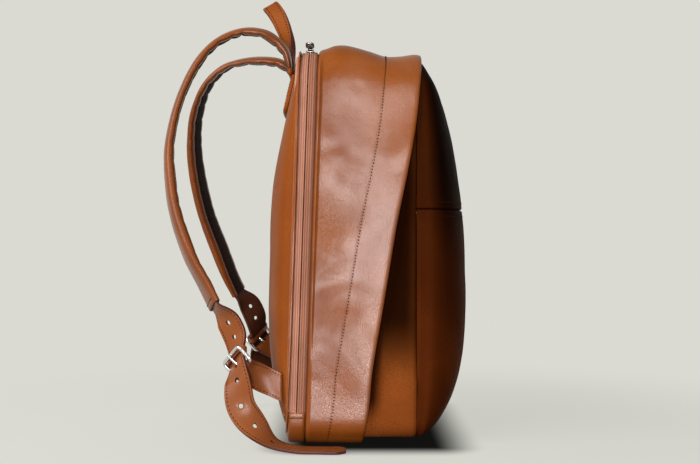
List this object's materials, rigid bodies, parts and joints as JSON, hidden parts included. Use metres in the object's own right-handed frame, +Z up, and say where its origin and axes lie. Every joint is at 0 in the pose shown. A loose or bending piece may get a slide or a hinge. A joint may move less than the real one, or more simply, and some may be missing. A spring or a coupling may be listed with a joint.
{
  "type": "leather backpack",
  "caption": "Soft leather backpack with a zipped opening back panel, a hooded front pocket, padded shoulder straps on buckled belts and a loop handle.",
  "frame": {"origin": "on the floor under the bag, at the middle of the wide frame's underside", "axes": "+Z up, front faces -Y, straps and back panel face +Y, +X is the wearer's right"},
  "size_m": [0.3948, 0.334, 0.4904],
  "materials": {
    "leather": "grained cognac leather, satin",
    "front_leather": "grained cognac leather, satin",
    "lining": "woven brown lining",
    "zip_tape": "woven brown tape",
    "nickel": "polished nickel",
    "foam": "soft open foam"
  },
  "bodies": {
    "shell": {"frame_band": "leather", "frame_facing": "front_leather", "hood_binding": "front_leather", "front_gusset": "front_leather", "divider_wall": "lining", "front_upper_panel": "front_leather", "front_pocket_panel": "front_leather", "base_board": "lining", "main_lining": "lining", "heel_strip": "leather", "zip_tape_front": "zip_tape", "zip_coil_front": "zip_tape"},
    "back_panel": {"back_panel": "leather", "back_foam": "foam", "back_lining": "lining", "back_hem_roll": "leather", "zip_tape_rear": "zip_tape", "zip_coil_rear": "zip_tape", "yoke_patch": "leather", "yoke_binding": "leather"},
    "handle": {"carry_handle": "leather"},
    "left_slider": {"left_slider": "nickel"},
    "left_pull": {"left_zip_pull": "nickel"},
    "right_slider": {"right_slider": "nickel"},
    "right_pull": {"right_zip_pull": "nickel"},
    "left_strap": {"left_strap_cover": "leather", "left_strap_foam": "foam", "left_belt": "leather", "left_anchor_strap": "leather"},
    "left_buckle": {"left_buckle_frame": "nickel"},
    "left_prong": {"left_buckle_prong": "nickel"},
    "right_strap": {"right_strap_cover": "leather", "right_strap_foam": "foam", "right_belt": "leather", "right_anchor_strap": "leather"},
    "right_buckle": {"right_buckle_frame": "nickel"},
    "right_prong": {"right_buckle_prong": "nickel"}
  },
  "joints": [
    {"name": "back_panel_open", "type": "hinge", "parent": "shell", "child": "back_panel", "pos_m": [0, 0.0659, 0.007], "axis": [-1, 0, 0], "range_deg": [0, 95]},
    {"name": "left_zip_turn", "type": "hinge", "parent": "shell", "child": "left_slider", "pos_m": [-0.112, 0.04381, 0.37678], "axis": [0, -0.9994, -0.0342], "range_deg": [0, 90]},
    {"name": "right_zip_slide", "type": "slide", "parent": "shell", "child": "right_slider", "axis": [1, 0, 0], "range_m": [0, 0.19]},
    {"name": "left_pull_swing", "type": "hinge", "parent": "left_slider", "child": "left_pull", "pos_m": [-0.112, 0.04239, 0.41806], "axis": [0, 0.9994, 0.0342], "range_deg": [-6, 95]},
    {"name": "right_pull_swing", "type": "hinge", "parent": "right_slider", "child": "right_pull", "pos_m": [-0.088, 0.04239, 0.41806], "axis": [0, -0.9994, -0.0342], "range_deg": [-6, 95]},
    {"name": "handle_swing", "type": "hinge", "parent": "back_panel", "child": "handle", "pos_m": [0, 0.066, 0.4045], "axis": [-1, 0, 0], "range_deg": [-50, 35]},
    {"name": "left_strap_swing", "type": "hinge", "parent": "back_panel", "child": "left_strap", "pos_m": [-0.062, 0.067, 0.4025], "axis": [-0.2497, 0.0131, -0.9682], "range_deg": [-8, 12]},
    {"name": "left_buckle_tilt", "type": "hinge", "parent": "left_strap", "child": "left_buckle", "pos_m": [-0.15139, 0.11031, 0.0807], "axis": [-0.6555, -0.4903, 0.5744], "range_deg": [0, 10]},
    {"name": "left_prong_lift", "type": "hinge", "parent": "left_buckle", "child": "left_prong", "pos_m": [-0.15139, 0.11031, 0.0807], "axis": [-0.6555, -0.4903, 0.5744], "range_deg": [0, 15]},
    {"name": "right_strap_swing", "type": "hinge", "parent": "back_panel", "child": "right_strap", "pos_m": [0.062, 0.067, 0.4025], "axis": [-0.2497, -0.0131, 0.9682], "range_deg": [-8, 12]},
    {"name": "right_buckle_tilt", "type": "hinge", "parent": "right_strap", "child": "right_buckle", "pos_m": [0.15139, 0.11031, 0.0807], "axis": [-0.6555, 0.4903, -0.5744], "range_deg": [0, 10]},
    {"name": "right_prong_lift", "type": "hinge", "parent": "right_buckle", "child": "right_prong", "pos_m": [0.15139, 0.11031, 0.0807], "axis": [-0.6555, 0.4903, -0.5744], "range_deg": [0, 15]}
  ]
}
